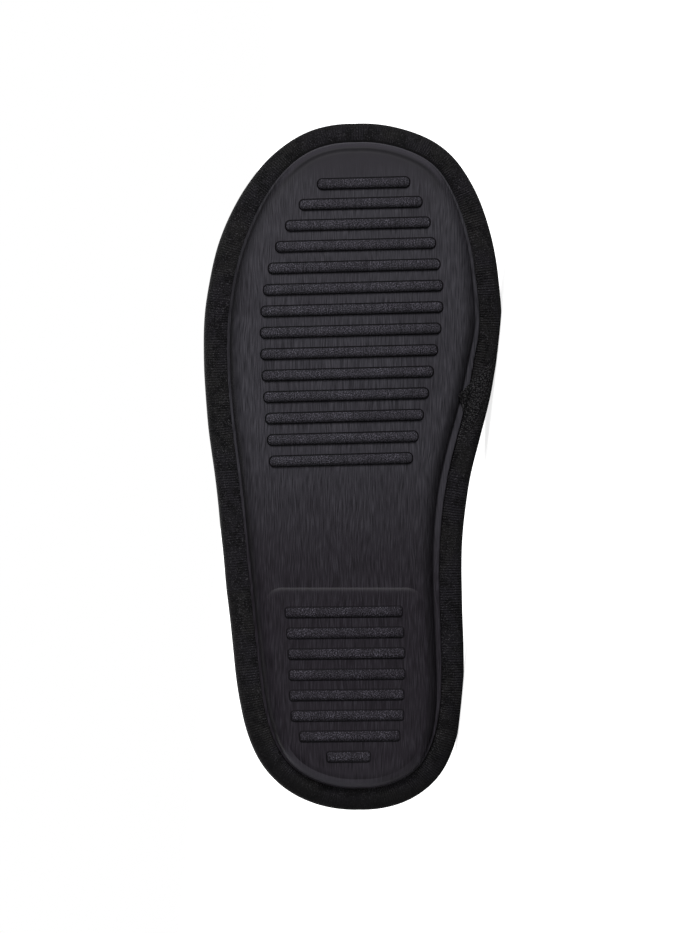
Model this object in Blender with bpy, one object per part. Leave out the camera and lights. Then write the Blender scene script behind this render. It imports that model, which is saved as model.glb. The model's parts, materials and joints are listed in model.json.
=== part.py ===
"""Backless scuff slipper for the right foot, lying on its inner side.

The pieces are modelled in the shoe's own frame, in metres: +X from heel to toe,
+Y towards the inner (big toe) side, +Z up from the tread, origin at the heel's
rearmost point. The empty "shoe" then lays the whole slipper on its inner side,
so that the platform's edge and the upper both touch the floor at Z = 0.
"""

import math

import bmesh
import bpy
import numpy as np
from mathutils import Matrix, Vector

MM = 0.001
LENGTH = 290 * MM
BALL_WIDTH = 125 * MM
INSTEP_HEIGHT = 56 * MM
GAP = 0.3 * MM

# How the slipper lies: turned in the plane of its sole until heel and ball touch,
# then leaned back onto the upper.
PLAN_TURN = math.radians(5.92)
LEAN = math.radians(2.02)
FLOOR_PRESS = 0.5 * MM

# Points round the outline: one count from heel to toe serves each side.
HALF_STEPS = 42
CAP_COLUMNS = 4
SHARP_EDGE = math.radians(40)

# Outline of the wrapped platform, as shares of LENGTH and BALL_WIDTH.
OUTLINE = (
    # along, inner, outer
    (0.0138, 0.188, 0.152),
    (0.0414, 0.278, 0.254),
    (0.1034, 0.352, 0.345),
    (0.2069, 0.3765, 0.392),
    (0.3448, 0.369, 0.426),
    (0.4828, 0.398, 0.460),
    (0.6034, 0.466, 0.492),
    (0.6552, 0.488, 0.498),
    (0.6897, 0.502, 0.498),
    (0.7586, 0.497, 0.483),
    (0.8448, 0.464, 0.431),
    (0.9138, 0.401, 0.345),
    (0.9586, 0.323, 0.254),
    (0.9862, 0.212, 0.157),
)
HEEL_TIP_ACROSS = 0.025
TOE_TIP_ACROSS = 0.011

TOE_SPRING = 6 * MM
TOE_SPRING_START = 0.66

# Where the details of the sides fade into those of the two ends, as shares of LENGTH.
TOE_FADE = (0.84, 0.98)
HEEL_FADE = (0.14, 0.02)

# Outsole: a moulded unit with a thin lip round a deeper, round-shouldered body.
OUTSOLE_INSET = 9.2 * MM
OUTSOLE_INSET_TOE = 8.2 * MM
RIB_HEIGHT = 1.2 * MM
OUTSOLE_TOP = 6.2 * MM
LIP_UNDERSIDE = 4.9 * MM
LIP_INNER_SIDE = 2.2 * MM
LIP_OUTER_SIDE = 1.5 * MM
LIP_ENDS = 0.6 * MM
LIP_CHAMFER = (0.2 * MM, 0.3 * MM)
SHOULDER = (
    # inset from the body's edge, height above the tread
    (4.6, 1.20),
    (2.9, 1.45),
    (1.4, 2.15),
    (0.5, 3.20),
)

# Grip ribs: where the first and last lie, and the envelope that their ends follow.
RIB_WIDTH = 4.9 * MM
RIB_EDGE = 0.45 * MM
RIB_ROOT = 1.2 * MM
RIB_END_STEPS = 4
RIB_TILT_FRONT = math.radians(-1.5)
RIB_TILT_HEEL = math.radians(-0.6)
FRONT_RIBS = 14
FRONT_RIB_FIRST, FRONT_RIB_LAST = 147.5 * MM, 264.8 * MM
FRONT_ENVELOPE = (
    # along, inner end, outer end
    (147.5, 25.6, 34.5),
    (174.8, 32.5, 37.0),
    (202.2, 37.8, 38.4),
    (220.3, 38.5, 37.0),
    (238.3, 35.4, 31.8),
    (255.7, 30.0, 22.1),
    (264.8, 24.7, 14.4),
)
HEEL_RIBS = 8
HEEL_RIB_FIRST, HEEL_RIB_LAST = 22.3 * MM, 83.5 * MM
HEEL_ENVELOPE = (
    # along, inner end, outer end
    (22.3, 7.8, 10.5),
    (30.7, 19.9, 21.6),
    (39.3, 21.8, 25.3),
    (57.0, 22.3, 26.3),
    (83.5, 21.2, 27.9),
)

# The heel's low plateau, which the heel ribs stand on.
PLATEAU_FRONT = 93.5 * MM
PLATEAU_STEP = 0.5 * MM
PLATEAU_CHAMFER = 0.1 * MM
PLATEAU_INSET = 4.2 * MM
PLATEAU_CORNER = 7 * MM
PLATEAU_CORNER_STEPS = 4
PLATEAU_CREST_SHARE = 0.985

# Wrapped platform: a foam midsole inside its fabric cover.
PLATFORM_FOOT = OUTSOLE_TOP + GAP
PLATFORM_FRONT_THICKNESS = 13.5 * MM
PLATFORM_HEEL_THICKNESS = 17.5 * MM
PLATFORM_WEDGE = (0.28, 0.64)
PLATFORM_LOWER_EDGE = (
    # inset, height above the platform's foot
    (4.8, 0.0),
    (2.3, 0.55),
    (0.7, 1.9),
    (0.0, 4.0),
)
PLATFORM_UPPER_EDGE = (
    # inset, depth below the platform's top
    (0.2, 6.0),
    (0.9, 3.2),
    (2.2, 1.1),
    (4.2, 0.0),
)

# The cover strip's end laps over its start, with a slanting folded edge.
LAP_THICKNESS = 0.7 * MM
LAP_ROOT = 0.6 * MM
LAP_SKIN = 0.05 * MM
LAP_ROUND_HEIGHT = 4 * MM
LAP_LENGTH = 34 * MM
LAP_STEPS = 9
LAP_SIDE_SHARE = 0.55
LAP_OUTER_ALONG = 191 * MM
LAP_INNER_ALONG = 180 * MM
LAP_UNDERSIDE_EDGE = (8.8, 0.0)
LAP_SIDE_EDGE = (0.1, 8.0)

# Footbed pad inside the upper.
INSOLE_INSET = 6.7 * MM
INSOLE_TOE_EXTRA = 3.0 * MM
INSOLE_EDGE = (
    # inset from the insole's own edge, height above the platform
    (0.6, 0.0),
    (0.0, 1.2),
    (0.3, 3.0),
    (1.5, 4.6),
    (3.8, 5.4),
)
HEEL_CUP_DEPTH = 1.3 * MM
HEEL_CUP_ALONG, HEEL_CUP_SPREAD = 0.17, 0.16
ARCH_RISE = 1.6 * MM
ARCH_ALONG, ARCH_SPREAD, ARCH_START = 0.42, 0.13, 0.35

# Upper: a vamp that closes the front and leaves the heel open.
WALL = 2.8 * MM
FEATHER_INSET = 3.3 * MM
VAMP_ROWS = 24
VAMP_COLUMNS = 30
SIDE_BULGE = 3.6 * MM
BULGE_LEVEL = 0.3
SECTION_WIDTH_POWER = 3.1
SECTION_HEIGHT_POWER = 2.2
TOE_ROUND = 36 * MM
TOE_ROUND_POWER = 2.5
TOPLINE_INNER, TOPLINE_OUTER, THROAT = 0.478, 0.458, 0.585
TOPLINE_SWEEP = 1.7
SPINE = (
    # along, height as a share of INSTEP_HEIGHT, ridge offset as a share of BALL_WIDTH
    (0.44, 1.08, 0.040),
    (0.58, 1.00, 0.048),
    (0.68, 0.86, 0.056),
    (0.78, 0.73, 0.056),
    (0.88, 0.63, 0.046),
    (0.99, 0.56, 0.011),
)

# Topline binding: a tape folded over the vamp's edge.
TAPE = 0.9 * MM
TAPE_DEPTH = 9 * MM
TAPE_FOLD = 1.9 * MM
TAPE_FOLD_STEPS = 6


def spline(stations, values, where):
    """Natural cubic through the table's rows, read at where."""
    x, y = np.asarray(stations, float), np.asarray(values, float)
    where = np.clip(where, x[0], x[-1])
    steps = np.diff(x)
    system = np.eye(len(x))
    right = np.zeros(len(x))
    for i in range(1, len(x) - 1):
        system[i, i - 1 : i + 2] = steps[i - 1], 2 * (steps[i - 1] + steps[i]), steps[i]
        right[i] = 6 * ((y[i + 1] - y[i]) / steps[i] - (y[i] - y[i - 1]) / steps[i - 1])
    bend = np.linalg.solve(system, right)
    i = np.clip(np.searchsorted(x, where) - 1, 0, len(x) - 2)
    h, a, b = steps[i], x[i + 1] - where, where - x[i]
    cubic = (bend[i] * a**3 + bend[i + 1] * b**3) / (6 * h)
    return cubic + (y[i] / h - bend[i] * h / 6) * a + (y[i + 1] / h - bend[i + 1] * h / 6) * b


def column(table, index, scale=1.0):
    return [row[index] * scale for row in table]


def smooth_side(side, sign):
    """Evenly spaced points from heel tip to toe tip along one side of the outline."""
    points = [(0.0, HEEL_TIP_ACROSS)]
    points += [(row[0], sign * row[side]) for row in OUTLINE]
    points += [(1.0, TOE_TIP_ACROSS)]
    other = 3 - side
    before = (OUTLINE[0][0], -sign * OUTLINE[0][other])
    after = (OUTLINE[-1][0], -sign * OUTLINE[-1][other])
    points = np.array([before] + points + [after]) * (LENGTH, BALL_WIDTH)
    travel = np.concatenate([[0], np.cumsum(np.linalg.norm(np.diff(points, axis=0), axis=1))])
    fine = np.linspace(travel[1], travel[-2], 600)
    curve = np.stack([spline(travel, points[:, i], fine) for i in (0, 1)], axis=1)
    run = np.concatenate([[0], np.cumsum(np.linalg.norm(np.diff(curve, axis=0), axis=1))])
    even = np.linspace(0, run[-1], HALF_STEPS + 1)
    return np.stack([np.interp(even, run, curve[:, i]) for i in (0, 1)], axis=1)


def outline():
    """The platform's outline as a ring: heel tip, outer side, toe tip, inner side."""
    outer, inner = smooth_side(2, -1), smooth_side(1, 1)
    outer[0] = inner[0] = (0.0, HEEL_TIP_ACROSS * BALL_WIDTH)
    outer[-1] = inner[-1] = (LENGTH, TOE_TIP_ACROSS * BALL_WIDTH)
    return np.concatenate([outer, inner[-2:0:-1]])


RING = outline()
COUNT = len(RING)


def inset(distance):
    """The outline moved inwards by distance, one number or one for each point."""
    along = np.roll(RING, -1, axis=0) - np.roll(RING, 1, axis=0)
    inward = np.stack([-along[:, 1], along[:, 0]], axis=1)
    inward /= np.linalg.norm(inward, axis=1)[:, None]
    return RING + inward * np.broadcast_to(distance, COUNT)[:, None]


def toe_spring(x):
    start = TOE_SPRING_START * LENGTH
    rise = np.clip((np.asarray(x) - start) / (LENGTH - start), 0, None)
    return TOE_SPRING * rise**2


def fade(x, span):
    """Rises smoothly from 0 to 1 while x / LENGTH goes from span's first value to its second."""
    share = np.clip((np.asarray(x) / LENGTH - span[0]) / (span[1] - span[0]), 0, 1)
    return share * share * (3 - 2 * share)


def platform_thickness(x):
    step = PLATFORM_FRONT_THICKNESS - PLATFORM_HEEL_THICKNESS
    return PLATFORM_HEEL_THICKNESS + step * fade(x, PLATFORM_WEDGE)


def platform_top(x):
    return PLATFORM_FOOT + platform_thickness(x) + toe_spring(x)


def at_height(ring, height):
    """A flat ring lifted to height, one number or one for each point, over the spring."""
    lift = np.broadcast_to(height, len(ring)) + toe_spring(ring[:, 0])
    return np.column_stack([ring, lift])


def new_object(name, bm, material, parent):
    bmesh.ops.remove_doubles(bm, verts=bm.verts, dist=1e-7)
    mesh = bpy.data.meshes.new(name)
    bm.to_mesh(mesh)
    bm.free()
    mesh.shade_smooth()
    mesh.set_sharp_from_angle(angle=SHARP_EDGE)
    obj = bpy.data.objects.new(name, mesh)
    bpy.context.scene.collection.objects.link(obj)
    obj.parent = parent
    if material:
        mesh.materials.append(material)
    return obj


def add_cap(bm, ring, crown, facing_up):
    """Closes a ring with rungs from its outer to its inner side, lifted by crown(x, share)."""
    rungs = []
    for i in range(HALF_STEPS + 1):
        a, b = ring[i], ring[-i % COUNT]
        rung = [a]
        if i not in (0, HALF_STEPS):
            for k in range(1, CAP_COLUMNS):
                point = a.co.lerp(b.co, k / CAP_COLUMNS)
                rung.append(bm.verts.new(point + Vector((0, 0, crown(point.x, k / CAP_COLUMNS)))))
            rung.append(b)
        rungs.append(rung)
    for low, high in zip(rungs, rungs[1:]):
        for k in range(CAP_COLUMNS):
            corners = []
            for rung, j in ((low, k), (high, k), (high, k + 1), (low, k + 1)):
                vertex = rung[min(j, len(rung) - 1)]
                if vertex not in corners:
                    corners.append(vertex)
            bm.faces.new(corners if facing_up else corners[::-1])


def flat(_x, _share):
    return 0.0


def stack(rings, bottom=flat, top=flat):
    """A closed solid from rings listed from its bottom to its top."""
    bm = bmesh.new()
    rows = [[bm.verts.new(point) for point in ring] for ring in rings]
    for low, high in zip(rows, rows[1:]):
        for i in range(COUNT):
            j = (i + 1) % COUNT
            bm.faces.new((low[i], low[j], high[j], high[i]))
    add_cap(bm, rows[0], bottom, facing_up=False)
    add_cap(bm, rows[-1], top, facing_up=True)
    return bm


def join_into(body, helper):
    """Unites helper with body and keeps the helper itself out of the model."""
    helper.hide_render = True
    helper.display_type = "WIRE"
    modifier = body.modifiers.new(helper.name, "BOOLEAN")
    modifier.operation = "UNION"
    modifier.solver = "EXACT"
    modifier.object = helper


def outsole_edge_inset():
    return OUTSOLE_INSET + (OUTSOLE_INSET_TOE - OUTSOLE_INSET) * fade(RING[:, 0], TOE_FADE)


def lip_width():
    ends = np.maximum(fade(RING[:, 0], TOE_FADE), fade(RING[:, 0], HEEL_FADE))
    side = np.where(RING[:, 1] > 0, LIP_INNER_SIDE, LIP_OUTER_SIDE)
    return side + (LIP_ENDS - side) * ends


def stadium(centre, length, width, tilt):
    """Points round a bar with round ends, lying across the shoe."""
    radius = width / 2
    reach = length / 2 - radius
    points = []
    for sign in (1, -1):
        for i in range(RIB_END_STEPS + 1):
            angle = math.pi * i / RIB_END_STEPS + (0 if sign > 0 else math.pi)
            points.append((radius * math.cos(angle), sign * reach + radius * math.sin(angle)))
    turn = Matrix.Rotation(tilt, 2)
    return np.array([turn @ Vector(p) + Vector(centre) for p in points])


def bar(rings):
    """A small closed bar from rings listed from its bottom to its top."""
    bm = bmesh.new()
    rows = [[bm.verts.new(point) for point in ring] for ring in rings]
    size = len(rows[0])
    for low, high in zip(rows, rows[1:]):
        for i in range(size):
            j = (i + 1) % size
            bm.faces.new((low[i], low[j], high[j], high[i]))
    bm.faces.new(rows[0][::-1])
    bm.faces.new(rows[-1])
    return bm


def rib_places(count, first, last, envelope, tilt):
    """Centre, length and tilt of each rib, its ends on the envelope."""
    for along in np.linspace(first, last, count):
        inner = spline(column(envelope, 0, MM), column(envelope, 1, MM), along)
        outer = spline(column(envelope, 0, MM), column(envelope, 2, MM), along)
        yield (along, (inner - outer) / 2), inner + outer, tilt


def rib(number, centre, length, tilt, parent):
    edge = stadium(centre, length, RIB_WIDTH, tilt)
    crest = stadium(centre, length - 2 * RIB_EDGE, RIB_WIDTH - 2 * RIB_EDGE, tilt)
    root = RIB_HEIGHT + RIB_ROOT
    rings = [at_height(crest, 0.0), at_height(edge, RIB_EDGE), at_height(edge, root)]
    return new_object(f"rib_{number:02d}", bar(rings), None, parent)


def heel_plateau(parent):
    """A low slab that follows the outsole's heel, with a straight front edge."""
    edge = inset(outsole_edge_inset() + lip_width() + PLATEAU_INSET)
    start = PLATEAU_FRONT - PLATEAU_CORNER
    outer = [point for point in edge[:HALF_STEPS] if point[0] < start]
    inner = [point for point in edge[HALF_STEPS:] if point[0] < start]
    corners = []
    for anchor, sign in ((outer[-1], -1), (inner[0], 1)):
        arc = []
        for i in range(1, PLATEAU_CORNER_STEPS + 1):
            angle = math.pi / 2 * i / PLATEAU_CORNER_STEPS
            across = anchor[1] - sign * PLATEAU_CORNER * (1 - math.cos(angle))
            arc.append((start + PLATEAU_CORNER * math.sin(angle), across))
        corners.append(arc)
    foot = np.array(outer + corners[0] + corners[1][::-1] + inner)
    centre = foot.mean(axis=0)
    crest = centre + (foot - centre) * PLATEAU_CREST_SHARE
    rings = [
        at_height(crest, RIB_HEIGHT - PLATEAU_STEP),
        at_height(foot, RIB_HEIGHT - PLATEAU_CHAMFER),
        at_height(foot, RIB_HEIGHT + RIB_ROOT),
    ]
    return new_object("heel_plateau", bar(rings), None, parent)


def make_outsole(material, parent):
    edge = outsole_edge_inset()
    body = edge + lip_width()
    rings = [at_height(inset(body + side * MM), height * MM) for side, height in SHOULDER]
    rings.append(at_height(inset(body), LIP_UNDERSIDE))
    rings.append(at_height(inset(edge + LIP_CHAMFER[0]), LIP_UNDERSIDE))
    rings.append(at_height(inset(edge), LIP_UNDERSIDE + LIP_CHAMFER[1]))
    rings.append(at_height(inset(edge), OUTSOLE_TOP))
    outsole = new_object("outsole", stack(rings), material, parent)
    join_into(outsole, heel_plateau(parent))
    front = rib_places(FRONT_RIBS, FRONT_RIB_FIRST, FRONT_RIB_LAST, FRONT_ENVELOPE, RIB_TILT_FRONT)
    heel = rib_places(HEEL_RIBS, HEEL_RIB_FIRST, HEEL_RIB_LAST, HEEL_ENVELOPE, RIB_TILT_HEEL)
    for number, (centre, length, tilt) in enumerate([*heel, *front], 1):
        join_into(outsole, rib(number, centre, length, tilt, parent))
    return outsole


def platform_rings():
    """The cover's edge from the underside, round the side, to the top."""
    thickness = platform_thickness(RING[:, 0])
    rows = [(side, np.full(COUNT, height * MM)) for side, height in PLATFORM_LOWER_EDGE]
    rows += [(side, thickness - depth * MM) for side, depth in PLATFORM_UPPER_EDGE]
    return [at_height(inset(side * MM), PLATFORM_FOOT + height) for side, height in rows]


def cover_lap(parent):
    """The lapped end of the cover strip, standing off the underside and the side."""
    profile = [LAP_UNDERSIDE_EDGE, *PLATFORM_LOWER_EDGE, LAP_SIDE_EDGE]
    bm = bmesh.new()
    rows = []
    for i in range(LAP_STEPS + 1):
        proud = LAP_THICKNESS * (1 - (i / LAP_STEPS) ** 2)
        face, root = [], []
        for side, height in profile:
            share = side / LAP_UNDERSIDE_EDGE[0]
            fold = LAP_OUTER_ALONG + (LAP_INNER_ALONG - LAP_OUTER_ALONG) * share
            x = fold - LAP_LENGTH * i / LAP_STEPS
            face.append(lap_point(x, side * MM, height * MM, -proud - LAP_SKIN))
            root.append(lap_point(x, side * MM, height * MM, LAP_ROOT))
        rows.append([bm.verts.new(point) for point in face + root[::-1]])
    size = len(rows[0])
    for low, high in zip(rows, rows[1:]):
        for i in range(size):
            k = (i + 1) % size
            bm.faces.new((low[i], low[k], high[k], high[i]))
    bm.faces.new(rows[0][::-1])
    bm.faces.new(rows[-1])
    bmesh.ops.recalc_face_normals(bm, faces=bm.faces)
    return new_object("cover_lap", bm, None, parent)


def inner_edge(x, distance):
    """Where the outline's inner side, moved in by distance, crosses station x."""
    ring = inset(distance)[HALF_STEPS:]
    return float(np.interp(x, ring[::-1, 0], ring[::-1, 1]))


def lap_point(x, side, height, depth):
    """A point of the lap: depth is measured inwards from the cover's own surface."""
    round_share = min(1.0, height / LAP_ROUND_HEIGHT)
    if depth < 0:
        depth *= 1 - (1 - LAP_SIDE_SHARE) * round_share
    across = inner_edge(x, side + depth * round_share)
    lift = PLATFORM_FOOT + height + depth * (1 - round_share) + float(toe_spring(x))
    return (x, across, lift)


def make_platform(material, parent):
    platform = new_object("platform", stack(platform_rings()), material, parent)
    join_into(platform, cover_lap(parent))
    return platform


def footbed_crown(x, share):
    """The insole's dish at the heel and its low rise under the arch."""
    across = 4 * share * (1 - share)
    heel = math.exp(-(((x / LENGTH - HEEL_CUP_ALONG) / HEEL_CUP_SPREAD) ** 2))
    arch = math.exp(-(((x / LENGTH - ARCH_ALONG) / ARCH_SPREAD) ** 2))
    arch *= max(0.0, share - ARCH_START)
    return -HEEL_CUP_DEPTH * across * heel + ARCH_RISE * across * arch


def make_insole(material, parent):
    edge = INSOLE_INSET + INSOLE_TOE_EXTRA * fade(RING[:, 0], TOE_FADE)
    rings = []
    for side, height in INSOLE_EDGE:
        ring = inset(edge + side * MM)
        lift = platform_thickness(ring[:, 0]) + PLATFORM_FOOT + GAP + height * MM
        rings.append(at_height(ring, lift))
    return new_object("insole", stack(rings, top=footbed_crown), material, parent)


FEATHER = inset(FEATHER_INSET)


def feather_width(x, side):
    """Half width of the vamp's foot at x: side 1 is inner, side -1 is outer."""
    half = FEATHER[HALF_STEPS:][::-1] if side > 0 else FEATHER[: HALF_STEPS + 1]
    return side * float(np.interp(x, half[:, 0], half[:, 1]))


def spine(x, index):
    return float(spline(column(SPINE, 0), column(SPINE, index), x / LENGTH))


def vamp_point(share, angle, depth=0.0, back=0.0):
    """A point of the upper. share runs from topline (0) to toe tip (1), angle from the
    inner foot (0) over the instep to the outer foot (pi); depth goes into the wall,
    and back moves along the shoe, towards the toe."""
    side = 1 if angle < math.pi / 2 else -1
    foot = angle in (0.0, math.pi)
    rise = 0.0 if foot else math.sin(angle) ** (2 / SECTION_HEIGHT_POWER)
    reach = abs(math.cos(angle)) ** (2 / SECTION_WIDTH_POWER)
    low = TOPLINE_INNER if side > 0 else TOPLINE_OUTER
    sweep = 1 - (1 - rise) ** TOPLINE_SWEEP
    topline = (low + (THROAT - low) * sweep) * LENGTH
    tip = LENGTH - FEATHER_INSET - depth
    x = topline + (tip - topline) * math.sin(share * math.pi / 2) + back
    closing = max(0.0, 1 - (tip - x) / TOE_ROUND)
    dome = max(0.0, 1 - closing**TOE_ROUND_POWER) ** (1 / TOE_ROUND_POWER)
    height = max(0.0, spine(x, 1) * INSTEP_HEIGHT - depth) * dome
    ridge = (spine(x, 2) * dome + TOE_TIP_ACROSS * (1 - dome)) * BALL_WIDTH
    foot_width = feather_width(min(x + depth, LENGTH - FEATHER_INSET), side) - depth
    bulge = SIDE_BULGE * (rise / BULGE_LEVEL) * math.exp(1 - rise / BULGE_LEVEL) * dome
    across = ridge + side * (max(0.0, foot_width - side * ridge) + bulge) * reach
    return Vector((x, across, float(platform_top(x)) + GAP + rise * height))


def make_upper(material, parent):
    """One hollow wall, open at the back and underneath."""
    bm = bmesh.new()
    angles = [math.pi * j / VAMP_COLUMNS for j in range(VAMP_COLUMNS + 1)]
    skins = []
    for depth in (0.0, WALL):
        rows = []
        for i in range(VAMP_ROWS):
            share = i / VAMP_ROWS
            rows.append([bm.verts.new(vamp_point(share, a, depth)) for a in angles])
        tip = bm.verts.new(vamp_point(1.0, 0.0, depth))
        rows.append([tip] * len(angles))
        skins.append(rows)
    for rows, outward in zip(skins, (True, False)):
        for low, high in zip(rows, rows[1:]):
            for j in range(VAMP_COLUMNS):
                corners = [low[j], high[j], high[j + 1], low[j + 1]]
                corners = list(dict.fromkeys(corners))
                bm.faces.new(corners[::-1] if outward else corners)
    outer, inner = skins
    for j in range(VAMP_COLUMNS):
        bm.faces.new((outer[0][j], outer[0][j + 1], inner[0][j + 1], inner[0][j]))
    for i in range(VAMP_ROWS):
        for j, flip in ((0, False), (VAMP_COLUMNS, True)):
            corners = (outer[i][j], inner[i][j], inner[i + 1][j], outer[i + 1][j])
            bm.faces.new(corners[::-1] if flip else corners)
    bmesh.ops.recalc_face_normals(bm, faces=bm.faces)
    return new_object("upper", bm, material, parent)


def binding_section():
    """The folded tape's section: distance in front of the vamp's edge, depth in its wall."""
    near, far = GAP, GAP + TAPE
    section = [(TAPE_DEPTH, -near), (TAPE_DEPTH, -far), (0.0, -far)]
    for i in range(1, TAPE_FOLD_STEPS):
        angle = math.pi * i / TAPE_FOLD_STEPS
        depth = WALL / 2 - (WALL / 2 + far) * math.cos(angle)
        section.append((-TAPE_FOLD * math.sin(angle), depth))
    section += [(0.0, WALL + far), (TAPE_DEPTH, WALL + far), (TAPE_DEPTH, WALL + near)]
    section += [(-near, WALL + near), (-near, -near)]
    return section


def make_binding(material, parent):
    section = binding_section()
    bm = bmesh.new()
    rows = []
    for j in range(VAMP_COLUMNS + 1):
        angle = math.pi * j / VAMP_COLUMNS
        rows.append([bm.verts.new(vamp_point(0.0, angle, depth, back)) for back, depth in section])
    size = len(section)
    for low, high in zip(rows, rows[1:]):
        for i in range(size):
            k = (i + 1) % size
            bm.faces.new((low[i], low[k], high[k], high[i]))
    bm.faces.new(rows[0][::-1])
    bm.faces.new(rows[-1])
    bmesh.ops.recalc_face_normals(bm, faces=bm.faces)
    return new_object("topline_binding", bm, material, parent)


def finish(name, colour, roughness):
    material = bpy.data.materials.new(name)
    material.use_nodes = True
    shader = material.node_tree.nodes["Principled BSDF"]
    shader.inputs["Base Color"].default_value = (*colour, 1)
    shader.inputs["Roughness"].default_value = roughness
    shader.inputs["Metallic"].default_value = 0.0
    return material


def lying_turn():
    """Turns the shoe frame onto its inner side: toe to +X, sole facing -Y."""
    on_side = Matrix(((1, 0, 0), (0, 0, 1), (0, -1, 0))).to_4x4()
    plan = Matrix.Rotation(-PLAN_TURN, 4, "Y")
    return Matrix.Rotation(-LEAN, 4, "X") @ plan @ on_side


def lay_down(shoe):
    """Presses what touches the floor a little flat, and centres the shoe over the origin."""
    turn = lying_turn()
    shapes = shoe.children
    every = np.array([turn @ vertex.co for shape in shapes for vertex in shape.data.vertices])
    low, high = every.min(axis=0), every.max(axis=0)
    floor = low[2] + FLOOR_PRESS
    back = turn.inverted()
    for shape in shapes:
        for vertex in shape.data.vertices:
            point = turn @ vertex.co
            if point.z < floor:
                point.z = floor
                vertex.co = back @ point
    middle = (low + high) / 2
    shoe.matrix_world = Matrix.Translation((-middle[0], -middle[1], -floor)) @ turn


def main():
    for obj in list(bpy.data.objects):
        bpy.data.objects.remove(obj)
    shoe = bpy.data.objects.new("shoe", None)
    bpy.context.scene.collection.objects.link(shoe)
    rubber = finish("outsole_rubber", (0.030, 0.028, 0.034), 0.55)
    cover = finish("cover_knit", (0.008, 0.008, 0.009), 0.9)
    knit = finish("upper_knit", (0.009, 0.009, 0.010), 0.9)
    footbed = finish("footbed_pile", (0.016, 0.016, 0.018), 0.95)
    tape = finish("binding_tape", (0.007, 0.007, 0.008), 0.85)
    make_outsole(rubber, shoe)
    make_platform(cover, shoe)
    make_insole(footbed, shoe)
    make_upper(knit, shoe)
    make_binding(tape, shoe)
    lay_down(shoe)


main()
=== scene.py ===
# Looks of the backless scuff slipper for the right foot, lying on its inner side.
# Sizes are millimetres in the shoe's own frame: along from heel to toe, across towards
# the inner side, up from the tread. laid() turns them into the frame's metres.

import json
import math
from functools import partialmethod

import bmesh
import bpy
import numpy as np
from mathutils import Matrix, Vector, noise


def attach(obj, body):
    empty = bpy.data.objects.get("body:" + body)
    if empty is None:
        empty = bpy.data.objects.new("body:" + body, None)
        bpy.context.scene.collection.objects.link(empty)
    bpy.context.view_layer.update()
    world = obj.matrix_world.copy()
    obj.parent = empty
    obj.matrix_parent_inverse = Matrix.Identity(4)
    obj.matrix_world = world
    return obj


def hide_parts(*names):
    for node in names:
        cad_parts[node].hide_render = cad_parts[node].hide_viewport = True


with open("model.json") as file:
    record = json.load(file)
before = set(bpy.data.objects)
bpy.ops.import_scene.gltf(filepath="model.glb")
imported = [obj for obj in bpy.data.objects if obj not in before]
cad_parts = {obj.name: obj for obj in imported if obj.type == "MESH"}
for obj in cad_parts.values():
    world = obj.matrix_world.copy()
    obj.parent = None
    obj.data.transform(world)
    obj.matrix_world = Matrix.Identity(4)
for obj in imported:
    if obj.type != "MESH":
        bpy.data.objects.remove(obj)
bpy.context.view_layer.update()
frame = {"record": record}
root = "root"
mm = 0.001

slipper = {
    "length": 290.0,
    "ballWidth": 125.0,
    "instepHeight": 56.0,
    "heelTipAcross": 0.025,  # share of the ball width
    "toeTipAcross": 0.011,
    "toeSpring": 6.0,
    "springStart": 0.66,  # share of the length
    "toeFade": (0.84, 0.98),  # where the sides' details give way to the ends'
    "heelFade": (0.14, 0.02),
    "gap": 0.3,  # between pieces that touch
    "halfSteps": 190,  # points along each side of the outline
    "hiddenColumns": 6,  # across the faces that other pieces cover
    "planTurn": 5.92,  # degrees; how it lies on its side
    "lean": 2.02,
}
outlineRows = (
    # along, inner, outer: shares of the length and of the ball width
    (0.0138, 0.188, 0.152), (0.0414, 0.278, 0.254), (0.1034, 0.352, 0.345),
    (0.2069, 0.3765, 0.392), (0.3448, 0.369, 0.426), (0.4828, 0.398, 0.460),
    (0.6034, 0.466, 0.492), (0.6552, 0.488, 0.498), (0.6897, 0.502, 0.498),
    (0.7586, 0.497, 0.483), (0.8448, 0.464, 0.431), (0.9138, 0.401, 0.345),
    (0.9586, 0.323, 0.254), (0.9862, 0.212, 0.157),
)
length, ballWidth = slipper["length"], slipper["ballWidth"]
halfSteps = slipper["halfSteps"]


def naturalCurve(stations, values, where):
    # Natural cubic through a table's rows
    x, y = np.asarray(stations, float), np.asarray(values, float)
    where = np.clip(where, x[0], x[-1])
    steps, slopes = np.diff(x), np.diff(y) / np.diff(x)
    system, right = np.eye(len(x)), np.zeros(len(x))
    for i in range(1, len(x) - 1):
        system[i, i - 1 : i + 2] = steps[i - 1], 2 * (steps[i - 1] + steps[i]), steps[i]
        right[i] = 6 * (slopes[i] - slopes[i - 1])
    bend = np.linalg.solve(system, right)
    i = np.clip(np.searchsorted(x, where) - 1, 0, len(x) - 2)
    h, a, b = steps[i], x[i + 1] - where, where - x[i]
    cubic = (bend[i] * a**3 + bend[i + 1] * b**3) / (6 * h)
    return cubic + (y[i] / h - bend[i] * h / 6) * a + (y[i + 1] / h - bend[i + 1] * h / 6) * b


def travelled(points):
    # Distance from the first point to each point of a line
    return np.concatenate([[0], np.cumsum(np.linalg.norm(np.diff(points, axis=0), axis=1))])


def pointAt(run, points, where):
    # The point of a line at a distance from its start
    return np.stack([np.interp(where, run, column) for column in points.T], axis=-1)


def respaced(points, count):
    # The same line with evenly spaced points
    run = travelled(points)
    return pointAt(run, points, np.linspace(0, run[-1], count))


def tabled(rows, where):
    table = np.array(rows)
    return np.interp(where, table[:, 0], table[:, 1])


def tableCurve(rows, column, where):
    table = np.array(rows)
    return naturalCurve(table[:, 0], table[:, column], where)


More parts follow.
